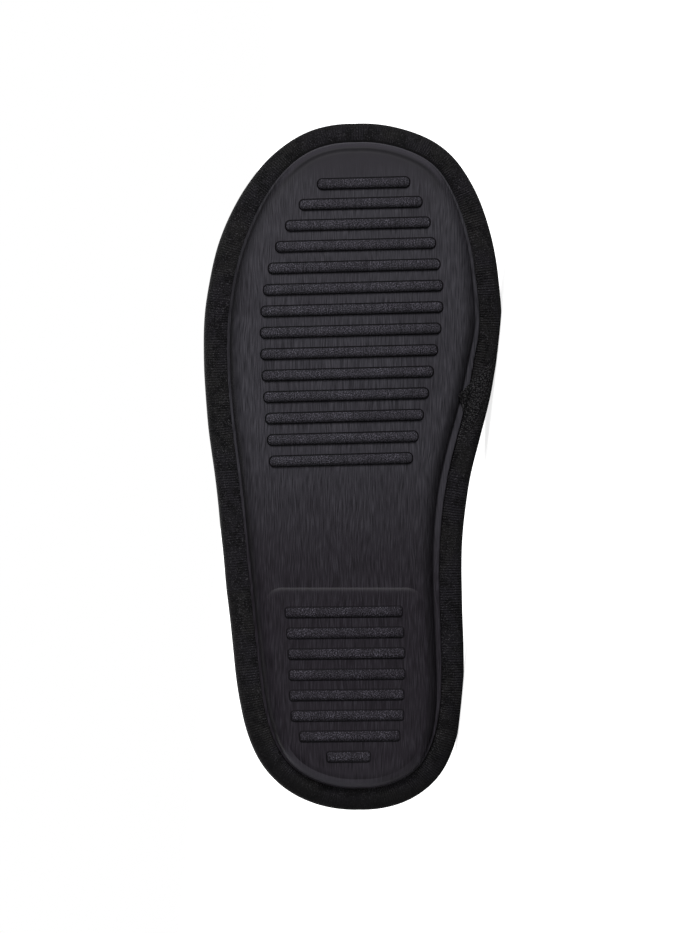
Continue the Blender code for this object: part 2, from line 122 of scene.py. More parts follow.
def smoothed(points, count, fineCount=200, steering=0):
    # A smooth line through a few points, evenly spaced; the steering ones stay outside it
    points = np.array(points, float)
    run = travelled(points)
    fine = np.linspace(run[steering], run[-1 - steering], fineCount)
    curve = np.stack([naturalCurve(run, points[:, i], fine) for i in (0, 1)], axis=1)
    return respaced(curve, count)


def smoothSide(side, sign):
    # From the heel's tip to the toe's; the first points of the other side steer it
    first, last = outlineRows[0], outlineRows[-1]
    points = [(row[0], sign * row[side]) for row in outlineRows]
    points = [(0.0, slipper["heelTipAcross"]), *points, (1.0, slipper["toeTipAcross"])]
    points = [(first[0], -sign * first[3 - side]), *points, (last[0], -sign * last[3 - side])]
    return smoothed(np.array(points) * (length, ballWidth), halfSteps + 1, 1200, steering=1)


outerSide, innerSide = smoothSide(2, -1), smoothSide(1, 1)
outerSide[0] = innerSide[0] = (0.0, slipper["heelTipAcross"] * ballWidth)
outerSide[-1] = innerSide[-1] = (length, slipper["toeTipAcross"] * ballWidth)
ring = np.concatenate([outerSide, innerSide[-2:0:-1]])  # heel, outer side, toe, inner side
ringCount = len(ring)
ringRun = travelled(np.concatenate([ring, ring[:1]]))


def inwardOf(points, smooth=0):
    # Unit directions to the inside of a closed line, averaged over a few neighbours
    along = np.roll(points, -1, axis=0) - np.roll(points, 1, axis=0)
    inward = np.stack([-along[:, 1], along[:, 0]], axis=1)
    inward /= np.linalg.norm(inward, axis=1)[:, None]
    inward = sum(np.roll(inward, shift, axis=0) for shift in range(-smooth, smooth + 1))
    return inward / np.linalg.norm(inward, axis=1)[:, None]


ringInward = inwardOf(ring, smooth=5)


def inset(distance):
    return ring + ringInward * np.broadcast_to(distance, ringCount)[:, None]


def softened(points, times=8):
    # A closed line with its small kinks averaged away
    for _ in range(times):
        points = (np.roll(points, 1, axis=0) + 2 * points + np.roll(points, -1, axis=0)) / 4
    return points


def toeSpring(along):
    start = slipper["springStart"] * length
    rise = np.clip((np.asarray(along) - start) / (length - start), 0, None)
    return slipper["toeSpring"] * rise**2


def smoothStep(value, low, high):
    share = np.clip((np.asarray(value, float) - low) / (high - low), 0, 1)
    return share * share * (3 - 2 * share)


def fade(along, span):
    return smoothStep(np.asarray(along) / length, *span)


def raised(points, height):
    # Flat points lifted to a height above the tread, over the toe spring
    lift = np.broadcast_to(height, len(points)) + toeSpring(points[:, 0])
    return np.column_stack([points, lift])


# How the slipper lies: its tread faces the camera, and its inner side is on the floor
onSide = Matrix(((1, 0, 0), (0, 0, 1), (0, -1, 0)))
lyingTurn = (
    Matrix.Rotation(-math.radians(slipper["lean"]), 3, "X")
    @ Matrix.Rotation(-math.radians(slipper["planTurn"]), 3, "Y")
    @ onSide
)
heelRest = next(m for m in frame["record"]["mounts"] if m["name"] == "tread_heel")
heelRestInShoe = Vector((57.27, -2.0, 0.0)) * mm
shoePlace = Vector(heelRest["pos_m"]) - lyingTurn @ heelRestInShoe


def laid(points):
    # Shoe millimetres to the frame's metres; what would go through the floor lies on it
    placed = np.asarray(points, float) * mm @ np.array(lyingTurn).T + np.array(shoePlace)
    placed[..., 2] = np.maximum(placed[..., 2], 0.0)
    return placed


def inScene(name, data):
    made = bpy.data.objects.new(name, data)
    bpy.context.scene.collection.objects.link(made)
    return made


class Skin:
    # Gathers the grids of one piece with pattern coordinates, finish, and painted shade (a lap mask
    # on the cover)
    def __init__(self):
        self.points = []
        self.faces = []
        self.pattern = []
        self.shadeAndLap = []
        self.finish = []
        self.count = 0

    def grid(self, points, pattern, finish=0, closed=False, shadeAndLap=0.0, flip=False):
        # A closed grid joins its last column to its first; its pattern has one column more
        points, pattern = np.asarray(points, float), np.asarray(pattern, float)
        rows, columns = points.shape[:2]
        index = self.count + np.arange(rows * columns).reshape(rows, columns)
        if closed:
            index = np.concatenate([index, index[:, :1]], axis=1)
        first, last = slice(None, -1), slice(1, None)
        corners = [(first, first), (first, last), (last, last), (last, first)]
        if flip:
            corners.reverse()
        self.faces.append(np.stack([index[c] for c in corners], axis=-1).reshape(-1, 4))
        self.pattern.append(np.stack([pattern[c] for c in corners], axis=-2).reshape(-1, 2))
        self.points.append(laid(points).reshape(-1, 3))
        self.shadeAndLap.append(np.broadcast_to(shadeAndLap, (rows, columns)).ravel())
        self.finish.append(np.full((rows - 1) * (index.shape[1] - 1), finish))
        self.count += rows * columns

    def stack(self, rings, finish=0, shadeAndLap=0.0):
        # Closed rings next to each other, patterned by their plan
        rings = np.stack(rings)
        plan = np.concatenate([rings, rings[:, :1]], axis=1)[..., :2]
        self.grid(rings, plan, finish, closed=True, shadeAndLap=shadeAndLap)

    def cap(self, border, columns, finish=0, crown=None, shadeAndLap=0.0, flip=False):
        # Closes a border with rungs from its first half to its second
        half = len(border) // 2
        step = np.linspace(0, 1, columns + 1)[None, :, None]
        rungs = np.arange(half + 1)
        start, end = border[rungs][:, None, :], border[-rungs % len(border)][:, None, :]
        points = start + (end - start) * step
        if crown is not None:
            points[..., 2] += crown(points, np.broadcast_to(step[..., 0], points.shape[:2]))
        self.grid(points, points[..., :2], finish, shadeAndLap=shadeAndLap, flip=flip)

    def build(self, name, materials, sharp=40):
        mesh = bpy.data.meshes.new(name)
        faces = np.concatenate(self.faces)
        mesh.from_pydata(np.concatenate(self.points).tolist(), [], faces.tolist())
        layer = mesh.uv_layers.new(name="pattern")
        layer.data.foreach_set("uv", np.concatenate(self.pattern).ravel().astype(np.float32))
        shadeAndLap = mesh.attributes.new("shadeAndLap", "FLOAT", "POINT")
        shadeAndLap.data.foreach_set("value", np.concatenate(self.shadeAndLap).astype(np.float32))
        mesh.polygons.foreach_set("material_index", np.concatenate(self.finish).astype(np.int32))
        for material in materials:
            mesh.materials.append(material)
        work = bmesh.new()
        work.from_mesh(mesh)
        bmesh.ops.remove_doubles(work, verts=work.verts, dist=2e-6)
        bmesh.ops.dissolve_degenerate(work, edges=work.edges, dist=1e-7)
        bmesh.ops.recalc_face_normals(work, faces=work.faces)
        work.to_mesh(mesh)
        work.free()
        mesh.shade_smooth()
        if sharp:
            mesh.set_sharp_from_angle(angle=math.radians(sharp))
        piece = inScene(name, mesh)
        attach(piece, root)
        print("made", name, "with", len(mesh.polygons), "faces")
        return piece


class Wire:
    # One number leaving a node; sums on it add Math nodes
    def __init__(self, kit, socket):
        self.kit = kit
        self.socket = socket

    def maths(self, operation, *others, reflected=False):
        values = (*others, self) if reflected else (self, *others)
        return self.kit.node("ShaderNodeMath", {"operation": operation}, values)

    __add__ = partialmethod(maths, "ADD")
    __radd__ = partialmethod(maths, "ADD", reflected=True)
    __sub__ = partialmethod(maths, "SUBTRACT")
    __rsub__ = partialmethod(maths, "SUBTRACT", reflected=True)
    __mul__ = partialmethod(maths, "MULTIPLY")
    __rmul__ = partialmethod(maths, "MULTIPLY", reflected=True)
    __truediv__ = partialmethod(maths, "DIVIDE")
    __pow__ = partialmethod(maths, "POWER")
    sine = partialmethod(maths, "SINE")
    size = partialmethod(maths, "ABSOLUTE")


class Kit:
    # Builds one material's nodes
    def __init__(self, name):
        self.material = bpy.data.materials.new(name)
        self.material.use_nodes = True
        self.tree = self.material.node_tree
        self.shader = self.tree.nodes["Principled BSDF"]

    def feed(self, socket, value):
        if isinstance(value, Wire):
            self.tree.links.new(value.socket, socket)
        else:
            socket.default_value = (*value, 1.0) if socket.type == "RGBA" else value

    def node(self, kind, settings=None, sockets=(), output=0):
        made = self.tree.nodes.new(kind)
        for name, value in (settings or {}).items():
            setattr(made, name, value)
        named = sockets.items() if isinstance(sockets, dict) else enumerate(sockets)
        for key, value in named:
            self.feed(made.inputs[key], value)
        return Wire(self, made.outputs[output])

    def pattern(self):
        return self.node("ShaderNodeUVMap", {"uv_map": "pattern"})

    def place(self):
        # The point in the frame, in millimetres
        point = self.node("ShaderNodeTexCoord", output="Object")
        values = {0: point, "Scale": 1 / mm}
        return self.node("ShaderNodeVectorMath", {"operation": "SCALE"}, values)

    # Painted shade and highlight on the outsole; where the nubby lap lies on the cover
    def shadeAndLap(self):
        return self.node("ShaderNodeAttribute", {"attribute_name": "shadeAndLap"}, output="Fac")

    def stretched(self, vector, factors):
        return self.node("ShaderNodeVectorMath", {"operation": "MULTIPLY"}, [vector, factors])

    def parts(self, vector):
        made = self.node("ShaderNodeSeparateXYZ", sockets=[vector])
        return [Wire(self, socket) for socket in made.socket.node.outputs]

    def joined(self, x, y, z=0.0):
        return self.node("ShaderNodeCombineXYZ", sockets=[x, y, z])

    def grain(self, vector, scale=1.0, detail=2.0, rough=0.5, twist=0.0):
        values = {"Vector": vector, "Scale": scale, "Detail": detail, "Roughness": rough}
        return self.node("ShaderNodeTexNoise", sockets=values | {"Distortion": twist})

    def cells(self, vector, scale):
        # Distance from the nearest of many scattered points
        return self.node("ShaderNodeTexVoronoi", sockets={"Vector": vector, "Scale": scale})

    def mask(self, value, low, high):
        # Rises smoothly from 0 to 1 while the value goes from low to high
        settings = {"interpolation_type": "SMOOTHSTEP"}
        return self.node("ShaderNodeMapRange", settings, [value, low, high])

    def mix(self, factor, first, second):
        settings = {"data_type": "RGBA"}
        return self.node("ShaderNodeMix", settings, {0: factor, 6: first, 7: second}, output=2)

    def layered(self, body, *layers):
        # Colours over each other: (how much of it, colour)
        for amount, colour in layers:
            body = self.mix(amount, body, colour)
        return body

    def relief(self, *layers):
        # Bumps on top of each other: (height from 0 to 1, depth in millimetres)
        normal = None
        for height, depth in layers:
            values = {"Height": height, "Distance": depth * mm}
            if normal is not None:
                values["Normal"] = normal
            normal = self.node("ShaderNodeBump", sockets=values)
        return normal

    def cloth(self, body, rough, sheen, shine, *layers):
        # A matt textile with a weight and a roughness of sheen
        self.done(Sheen_Weight=sheen[0], Sheen_Roughness=sheen[1], Specular_IOR_Level=shine)
        return self.done(Base_Color=body, Roughness=rough, Normal=self.relief(*layers))

    def done(self, **sockets):
        for name, value in sockets.items():
            self.feed(self.shader.inputs[name.replace("_", " ")], value)
        return self.material


print("frame read, shoe placed at", [round(value, 5) for value in shoePlace])

# Outsole: moulded rubber with a thin lip, round shoulders, a heel plateau and grip ribs
outsole = {
    "inset": 9.2,
    "insetToe": 8.2,
    "top": 6.2,
    "lipUnderside": 4.9,
    "outerShift": 0.5,  # how much further in the outer edge lies
    "lipOuterSide": 1.3,
    "lipEnds": 0.6,
    "outerShiftFrom": (5.0, 25.0),  # across: where it sets in
    "crease": 0.72,  # painted shade of the line between the lip and the outer shoulder
    # along: where the painted shades of the crease, the ends and the sides (weaker) set in
    "creaseFrom": (50.0, 130.0),
    "toeTurn": (262.0, 282.0),
    "heelTurn": (30.0, 12.0),
    "innerWeak": (200.0, 240.0),
    "outerWeak": (115.0, 60.0),
    "shoulderSteps": 14,
    "coveredWidth": 5.0,  # of the upper face beyond the body's edge
    "bottomInset": 7.0,
    "bottomRounding": 5.0,  # the inset beyond which the bottom's rings are softened
    "bottomColumns": 28,
    "ground": 1.2,
    "ribWidth": 4.5,
    "ribShade": 0.85,  # painted shade on the crest's heel side
    "ribRoundSteps": 8,
    # count, first and last place along, corner radius, tilt in degrees, crest's painted highlight
    "frontRibs": (14, 147.5, 264.8, 1.9, -1.5, 0.0),
    "heelRibs": (8, 22.3, 83.5, 1.2, -0.6, 0.25),
    "plateauFront": 93.5,
    "plateauStep": 0.5,
    "plateauInset": 4.2,
    "plateauCorner": 7.0,
    # Painted shade: the rubber darkens from the toe's tone to the heel's, as the light falls off
    "toeTone": (0.0225, 0.0214, 0.0262),
    "heelShadedTone": (0.0098, 0.0080, 0.0110),
    "streakTone": (0.038, 0.036, 0.043),
    "heelShadedStreakTone": (0.021, 0.019, 0.024),
    # Dark streaks, and the painted shade of creases, shoulders, rib edges and stipple pits
    "creaseTone": (0.0012, 0.0011, 0.0016),
    "grainAndHighlightTone": (0.072, 0.067, 0.085),
    "shine": 0.09,  # specular level of the matt rubber
    "roughness": 0.50,
    "streakDepth": 0.06,
    "streakPitch": 0.42,
    "streakStart": (276.0, 256.0),
    "stippleDepth": 0.30,
}
shoulderRows = (
    # inset from the body's edge, height above the tread
    (4.6, 1.20), (2.9, 1.45), (1.4, 2.15), (0.5, 3.20), (0.0, 4.55),
)
ribShifts = (
    # along, how much nearer the toe the rib lies
    (22.3, 0.50), (39.8, 0.32), (57.0, 0.10), (147.5, 0.10), (200.0, 0.20), (237.7, 0.20),
    (246.8, 0.00), (255.8, -0.25), (264.8, -0.70),
)
innerLipWidths = (
    # along, width
    (29.0, 1.4), (63.0, 2.6), (97.0, 3.0), (130.0, 3.3), (156.0, 3.1), (198.0, 2.35),
    (230.0, 1.6), (257.0, 1.5),
)
innerShade = (
    # distance from the body's edge, painted shade (negative values paint a highlight)
    (0.0, 0.50), (0.8, 0.55), (1.7, 0.58), (2.5, 0.50), (3.2, 0.40), (4.2, 0.14), (5.4, 0.0),
)
outerShade = (
    (0.0, 0.86), (0.8, 0.75), (1.3, 0.57), (1.7, 0.46), (2.5, 0.30), (3.4, 0.20), (4.2, 0.12),
    (5.0, 0.0),
)
# Negative values paint a highlight on the heel's shoulder
heelShade = (
    (0.0, -1.0), (0.9, -1.0), (1.5, -0.68), (2.1, -0.55), (3.0, -0.45), (4.0, -0.33),
    (7.0, 0.0),
)
toeShade = (
    (0.0, -0.42), (0.4, -0.42), (0.8, -0.30), (1.3, -0.20), (1.9, 0.32), (2.3, 0.60),
    (2.7, 0.66), (3.2, 0.60), (3.6, 0.48), (4.0, 0.31), (4.6, 0.18), (6.0, 0.0),
)
lipPaintedLight = (
    # along, painted shade of the lip; negative values paint a highlight
    (30.0, -0.20), (90.0, -0.20), (120.0, -0.38), (160.0, -0.40), (195.0, 0.05), (215.0, 0.20),
    (262.0, 0.20), (284.0, -0.6),
)
frontEnvelope = (
    # along, inner end, outer end
    (147.5, 25.5, 34.5), (174.8, 32.3, 37.0), (202.2, 37.5, 38.4), (220.3, 38.2, 37.0),
    (238.3, 35.1, 31.8), (255.7, 29.6, 22.1), (264.8, 24.4, 14.4),
)
heelEnvelope = (
    # along, inner end, outer end
    (22.3, 7.8, 10.5), (30.7, 19.9, 21.6), (39.3, 21.8, 25.3), (57.0, 22.3, 26.3),
    (83.5, 21.2, 27.9),
)
ribSection = (
    # distance outside the rib's edge, share of its height, painted shade
    (0.50, -0.10, 0.2), (0.32, 0.02, 1.0), (0.04, 0.14, 1.0), (-0.08, 0.45, 1.0),
    (-0.22, 0.70, 0.55),
)
crestSection = (
    (-0.22, 0.70, 0.55), (-0.46, 0.81, 0.1), (-0.75, 0.88, 0.0), (-1.15, 0.94, 0.0),
    (-1.60, 0.98, 0.0), (-2.05, 1.0, 0.0),
)


def rubberFinish(name, stippled):
    kit = Kit(name)
    plan, shadeAndLap = kit.pattern(), kit.shadeAndLap()
    along, across, _ = kit.parts(plan)
    heelShadedTone, streakTone, dark = (outsole[key] for key in ("heelShadedTone", "streakTone", "creaseTone"))
    bend = kit.grain(kit.stretched(plan, (0.05, 0.08, 0)), detail=1.0) * 2.6
    row = kit.joined(along * 0.12, (across + bend) / outsole["streakPitch"])
    present = kit.mask(along, *outsole["streakStart"])
    streaks = kit.grain(row, detail=1.0, rough=0.6)
    clouds = kit.grain(plan, 0.05, detail=3.0)
    litTowardsToe = kit.mask(along, 85.0, 170.0)
    # Painted shade, darker from the toe towards the heel; the toe's tip is darker and the heel's
    # tip a little lighter
    body = kit.layered(
        kit.mix(litTowardsToe, heelShadedTone, outsole["toeTone"]),
        (kit.mask(along, 250.0, 280.0) * 0.6, heelShadedTone),
        (kit.mask(along, 24.0, 10.0) * 0.12, streakTone),
        (
            kit.mask(streaks, 0.50, 0.66) * present * 0.76,
            kit.mix(litTowardsToe, outsole["heelShadedStreakTone"], streakTone),
        ),
        (kit.mask(streaks, 0.48, 0.34) * present * 0.5, dark),
        (kit.mask(clouds, 0.45, 0.75) * 0.3, heelShadedTone),
    )
    layers = [(streaks * present, outsole["streakDepth"])]
    rough = outsole["roughness"] + (streaks - 0.5) * 0.16
    if stippled:
        grit = kit.grain(plan, 2.1, detail=1.5, rough=0.6, twist=0.4)
        fine = kit.grain(plan, 3.4, detail=1.0)
        patchy = kit.mask(kit.grain(plan, 0.13), 0.40, 0.60)
        layers = [(kit.mask(grit, 0.34, 0.66), outsole["stippleDepth"]), (fine, 0.12)]
        rough = rough - kit.mask(grit, 0.5, 0.7) * 0.12
        # Painted shade in the stipple's pits and a painted highlight on its peaks, over the grain's
        # own colour
        body = kit.layered(
            body,
            (kit.mask(grit, 0.46, 0.36) * 0.5, dark),
            (kit.mask(grit, 0.50, 0.62) * (0.4 + patchy * 0.4), outsole["grainAndHighlightTone"]),
        )
    # Positive values paint shade, dark and matt; negative ones paint a highlight
    return kit.done(
        Base_Color=kit.layered(body, (kit.mask(shadeAndLap, 0.0, -1.0), streakTone), (shadeAndLap, dark)),
        Roughness=rough + kit.mask(shadeAndLap, 0.3, 0.9) * 0.4,
        Specular_IOR_Level=outsole["shine"],
        Normal=kit.relief(*layers),
    )


def ringEnds():
    return np.maximum(fade(ring[:, 0], slipper["toeFade"]), fade(ring[:, 0], slipper["heelFade"]))


def outsoleEdge():
    step = outsole["insetToe"] - outsole["inset"]
    outer = smoothStep(-ring[:, 1], *outsole["outerShiftFrom"]) * (1 - ringEnds())
    toe = fade(ring[:, 0], slipper["toeFade"])
    return outsole["inset"] + step * toe + outsole["outerShift"] * outer


def lipWidth():
    side = np.where(ring[:, 1] > 0, tabled(innerLipWidths, ring[:, 0]), outsole["lipOuterSide"])
    return side + (outsole["lipEnds"] - side) * ringEnds()


def addOutsoleBody(skin):
    # Both shoulders get painted shade, darker than the ground, the inner one over more of its
    # width. The heel's gets a painted highlight.
    def within(name):
        return smoothStep(ring[:, 0], *outsole[name])

    edge, lip = outsoleEdge(), lipWidth()
    body, under = edge + lip, outsole["lipUnderside"]
    inner = np.where(ring[:, 1] > 0, 1.0, 0.0)
    outer = 1 - inner
    toe, heel = within("toeTurn"), within("heelTurn")
    sides = (1 - toe) * (1 - heel)
    shades = (
        (sides * inner * (1 - 0.45 * within("innerWeak")), innerShade),
        (sides * outer * (1 - 0.18 * within("outerWeak")), outerShade),
        (toe, toeShade),
        (heel * (1 - 0.6 * smoothStep(ring[:, 1], 2.0, 24.0)), heelShade),
    )
    rings, shadeAndLap = [], []
    shoulder = smoothed(shoulderRows, outsole["shoulderSteps"])
    for side, height in ((outsole["bottomInset"], outsole["ground"]), *shoulder):
        line = inset(body + side)
        deep = side > outsole["bottomRounding"]
        rings.append(raised(softened(line) if deep else line, height))
        shadeAndLap.append(sum(strength * tabled(rows, side) for strength, rows in shades))
    lipRows = (
        # share of the lip's width from the body, height, painted shade
        (0.06, under - 0.10, 0.9), (0.15, under - 0.03, 0.5),
        (0.26, under, 0.05), (0.55, under, 0.0), (0.82, under + 0.02, 0.0),
        (0.93, under + 0.14, 0.2), (1.00, under + 0.42, 0.9),
    )
    crease = sides * (inner + outer * outsole["crease"] * within("creaseFrom"))
    # Painted shade and highlight on the lip, a little darker on the outer side
    paintedLight = tabled(lipPaintedLight, ring[:, 0]) + 0.25 * outer * sides
    for share, height, rowShade in lipRows:
        rings.append(raised(inset(body - lip * share), height))
        if share < 0.2:
            shadeAndLap.append(rowShade * crease)
        elif share < 1:
            shadeAndLap.append(rowShade * sides + paintedLight)
        else:
            shadeAndLap.append(np.full(ringCount, rowShade))
    # Painted shade where the cover meets the outsole's top
    for side in (edge, body + outsole["coveredWidth"]):
        rings.append(raised(inset(side), outsole["top"]))
        shadeAndLap.append(np.full(ringCount, 0.9))
    skin.stack(rings, shadeAndLap=np.stack(shadeAndLap))
    skin.cap(rings[0], outsole["bottomColumns"])
    skin.cap(rings[-1], slipper["hiddenColumns"], flip=True)


def barOutline(centre, barLength, width, corner, tilt):
    # Points round a bar with rounded ends, lying across the shoe
    quarter = np.linspace(90, 0, outsole["ribRoundSteps"] + 1)
    points = []
    for number, (ahead, aside) in enumerate(((1, 1), (1, -1), (-1, -1), (-1, 1))):
        middle = np.array((ahead * (width / 2 - corner), aside * (barLength / 2 - corner)))
        for angle in np.radians(quarter - 90 * number):
            points.append(middle + corner * np.array((math.cos(angle), math.sin(angle))))
    return np.array(points) @ np.array(Matrix.Rotation(tilt, 2)).T + centre


def addRib(skin, centre, barLength, corner, tilt, ground, paintedLight):
    def ringAt(outside, share):
        sizes = (barLength + 2 * outside, outsole["ribWidth"] + 2 * outside)
        outline = barOutline(centre, *sizes, max(0.2, corner + outside), tilt)
        return raised(outline, ground * (1 - share))

    def shadeAt(points):
        # Painted shade, growing from the middle of the bar to its heel side
        back = (centre - points[..., :2]) @ (math.cos(tilt), math.sin(tilt))
        return smoothStep(back * 2 / outsole["ribWidth"], 0.0, 1.0)

    # Painted shade on the crest's heel side, painted highlight on its toe side
    def crestShade(points, shadeAndLap):
        shade = shadeAt(points)
        return np.maximum(shadeAndLap, shade * outsole["ribShade"]) - paintedLight * (1 - shade) * (shadeAndLap < 0.3)

    for section, finish in ((ribSection, 0), (crestSection, 1)):
        rings = np.stack([ringAt(outside, share) for outside, share, _ in section])
        shadeAndLap = np.array([row[2] for row in section])[:, None] + np.zeros(rings.shape[:2])
        if finish:
            shadeAndLap = crestShade(rings, shadeAndLap)
        else:
            # Less painted shade on the heel side's outer rows; the painted highlight lightens the
            # sides
            shadeAndLap[:2] *= 1 - 0.75 * shadeAt(rings)[:2]
            shadeAndLap *= 1 - paintedLight
        skin.stack(rings, finish, shadeAndLap)
    # The outline starts at the inner end's heel side: a turn makes the rungs run along the bar
    crest = np.roll(rings[-1], outsole["ribRoundSteps"] + 1, axis=0)
    half = len(crest) // 2
    start, end = crest[:half, None], crest[half:][::-1, None]
    points = start + (end - start) * np.linspace(0, 1, 9)[None, :, None]
    skin.grid(points, points[..., :2], finish=1, shadeAndLap=crestShade(points, 0.0))


def addRibs(skin):
    ground = outsole["ground"]
    for ribs, envelope, level in (
        (outsole["frontRibs"], frontEnvelope, ground),
        (outsole["heelRibs"], heelEnvelope, ground - outsole["plateauStep"]),
    ):
        count, first, last, corner, tilt, paintedLight = ribs
        for along in np.linspace(first, last, count):
            inner, outer = (tableCurve(envelope, column, along) for column in (1, 2))
            centre = np.array((along + tabled(ribShifts, along), (inner - outer) / 2))
            addRib(skin, centre, inner + outer, corner, math.radians(tilt), level, paintedLight)


def addPlateau(skin):
    # The low slab at the heel: it follows the outsole's edge and has a straight front
    edge = inset(outsoleEdge() + lipWidth() + outsole["plateauInset"])
    corner, ground, step = (outsole[key] for key in ("plateauCorner", "ground", "plateauStep"))
    start = outsole["plateauFront"] - corner
    outer = [point for point in edge[:halfSteps] if point[0] < start]
    inner = [point for point in edge[halfSteps:] if point[0] < start]
    turn = np.linspace(0, math.pi / 2, 12)[1:]
    ahead, aside = start + corner * np.sin(turn), corner * (1 - np.cos(turn))
    outerArc = np.stack([ahead, outer[-1][1] + aside], axis=1)
    innerArc = np.stack([ahead, inner[0][1] - aside], axis=1)[::-1]
    foot = respaced(np.concatenate([outer, outerArc, innerArc, inner, outer[:1]]), 321)[:-1]
    inward = inwardOf(foot)
    section = (
        # inset, share of the step
        (-0.7, -0.3), (-0.3, 0.1), (0.1, 0.4), (0.6, 0.74), (1.2, 0.94), (2.0, 1.0),
    )
    rings = [raised(foot + inward * side, ground - step * share) for side, share in section]
    middle = rings[-1].mean(axis=0)
    rings += [middle + (rings[-1] - middle) * share for share in (0.6, 0.25, 0.0)]
    skin.stack(rings)


def makeOutsole():
    skin = Skin()
    addOutsoleBody(skin)
    addPlateau(skin)
    addRibs(skin)
    finishes = [rubberFinish("outsole_rubber", False), rubberFinish("rib_crest_rubber", True)]
    piece = skin.build("outsole_unit", finishes, sharp=None)
    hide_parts("outsole")


# Platform: a foam wedge in a ribbed knit cover, whose strip laps over itself
cover = {
    "foot": 6.5,
    "frontThickness": 13.5,
    "heelThickness": 17.5,
    "wedge": (0.28, 0.64),
    "hiddenInset": 16.0,  # how far the cover goes in under the outsole and the footbed
    "waviness": 0.22,
    "loft": 0.35,  # how far the knit's nap stands out round the side
    "ribPitch": 1.10,
    "loopPitch": 0.80,
    "ribDepth": 0.34,
    "fuzzDepth": 0.14,
    "tone": (0.0012, 0.0011, 0.0014),
    "ribTone": (0.0086, 0.0079, 0.0102),
    "oliveTone": (0.0093, 0.0089, 0.0088),
    "nubTone": (0.0260, 0.0254, 0.0262),
    "fluffTone": (0.050, 0.048, 0.052),
    "rubbed": 0.75,  # how flat the ribs are where they are rubbed
    "seam": (174.0, 183.0, 220.0, 229.0),  # along: where the turned-in edge shows as a groove
    "seamInset": 4.4,
    "seamDepth": 0.35,
    "lapThickness": 1.0,
    "lapLength": 34.0,
    "lapSideShare": 0.2,
    "lapOuterAlong": 191.0,
    "lapInnerAlong": 180.0,
    "lapInset": 8.8,
    "lapCorner": 13.1,  # inset that the lap's corner reaches at the fold
    "lapCornerFall": 0.32,
    "lapHeight": 8.0,
    "lapRoundHeight": 4.0,
    "lapSteps": (22, 36, 15),  # round the edge, along the strip, over the lip
}
lowerEdgeRows = (
    # inset, height above the platform's foot
    (7.4, 0.0), (4.8, 0.0), (2.3, 0.55), (0.7, 1.9), (0.0, 4.0),
)
lapOverLip = (
    # inset, height above the platform's foot, for the lap's corner on the lip and shoulder
    (8.8, 0.0), (9.1, -0.9), (9.35, -1.5), (11.1, -1.6), (11.45, -2.0), (11.9, -3.2),
    (12.8, -4.3), (13.5, -4.8),
)
upperEdgeRows = (
    # inset, depth below the platform's top
    (0.0, 7.6), (0.2, 6.0), (0.9, 3.2), (2.2, 1.1), (4.2, 0.0), (6.0, 0.0),
)


def platformThickness(along):
    step = cover["frontThickness"] - cover["heelThickness"]
    return cover["heelThickness"] + step * fade(along, cover["wedge"])


def platformTop(along):
    return cover["foot"] + platformThickness(along) + toeSpring(along)


def knitHeight(kit, u, v, pitch, loop, place):
    # Raised ribs along v, each a column of small loops, with uneven yarn
    drift = kit.grain(place, 0.06, detail=1.0) * 1.6 + kit.grain(place, 0.35, detail=1.0) * 0.35
    rib = ((u + drift) * (math.pi / pitch)).sine().size() ** 0.75
    lean = ((u + drift) * (2 * math.pi / pitch)).sine() * 0.22
    loops = ((v / loop + lean) * math.pi).sine().size()
    return rib * (0.72 + loops * 0.28)


def coverFinish():
    kit = Kit("cover_knit")
    place, nubby = kit.place(), kit.shadeAndLap()
    fromMiddle, _, _ = kit.parts(place)
    u, v, _ = kit.parts(kit.pattern())
    plain = cover["tone"]
    ribs = knitHeight(kit, u, v, cover["ribPitch"], cover["loopPitch"], place)
    rubbed = kit.mask(kit.grain(place, 0.11), 0.42, 0.62) * cover["rubbed"]
    ribs = ribs * (1 - rubbed) + rubbed * 0.35
    nubs = kit.mask(kit.cells(place, 1.15), 0.55, 0.2)
    surface = kit.node("ShaderNodeMix", {"data_type": "FLOAT"}, {0: nubby, 2: ribs, 3: nubs})
    fuzz = kit.grain(place, 2.2, detail=3.0, rough=0.7)
    patches = kit.grain(place, 0.2, detail=3.0)
    dye = kit.mask(kit.grain(place, 0.045), 0.45, 0.58)
    yarn = kit.mix(dye, cover["ribTone"], cover["oliveTone"])
    toeShadow = kit.mask(fromMiddle, 105.0, 130.0)
    body = kit.layered(
        kit.mix(surface, plain, kit.mix(nubby, yarn, cover["nubTone"])),
        (kit.mask(patches, 0.49, 0.58) * (0.8 - nubby * 0.5), plain),
        (kit.mask(fuzz, 0.56, 0.64) * (0.6 + nubby * 0.35), cover["fluffTone"]),
        # Painted shade: darker near the outsole towards the heel, round the side where it turns
        # away, at its rim, and at the toe near the lip, where the lip's shadow falls
        (kit.mask(fromMiddle, -70.0, -140.0) * kit.mask(v, 8.0, 12.5) * 0.68, plain),
        (kit.mask(v, 13.0, 16.5) * 0.5, plain),
        (kit.mask(v, 15.7, 16.5) * 0.8, plain),
        (toeShadow * (0.12 + kit.mask(v, 9.3, 8.5) * 0.8), plain),
        (kit.mask(v, 18.0, 22.0), kit.mix(surface, vamp["tone"], vamp["ribTone"])),
    )
    layers = (surface, cover["ribDepth"]), (fuzz, cover["fuzzDepth"])
    return kit.cloth(body, 0.86 + fuzz * 0.12, (0.015, 0.45), 0.10, *layers)


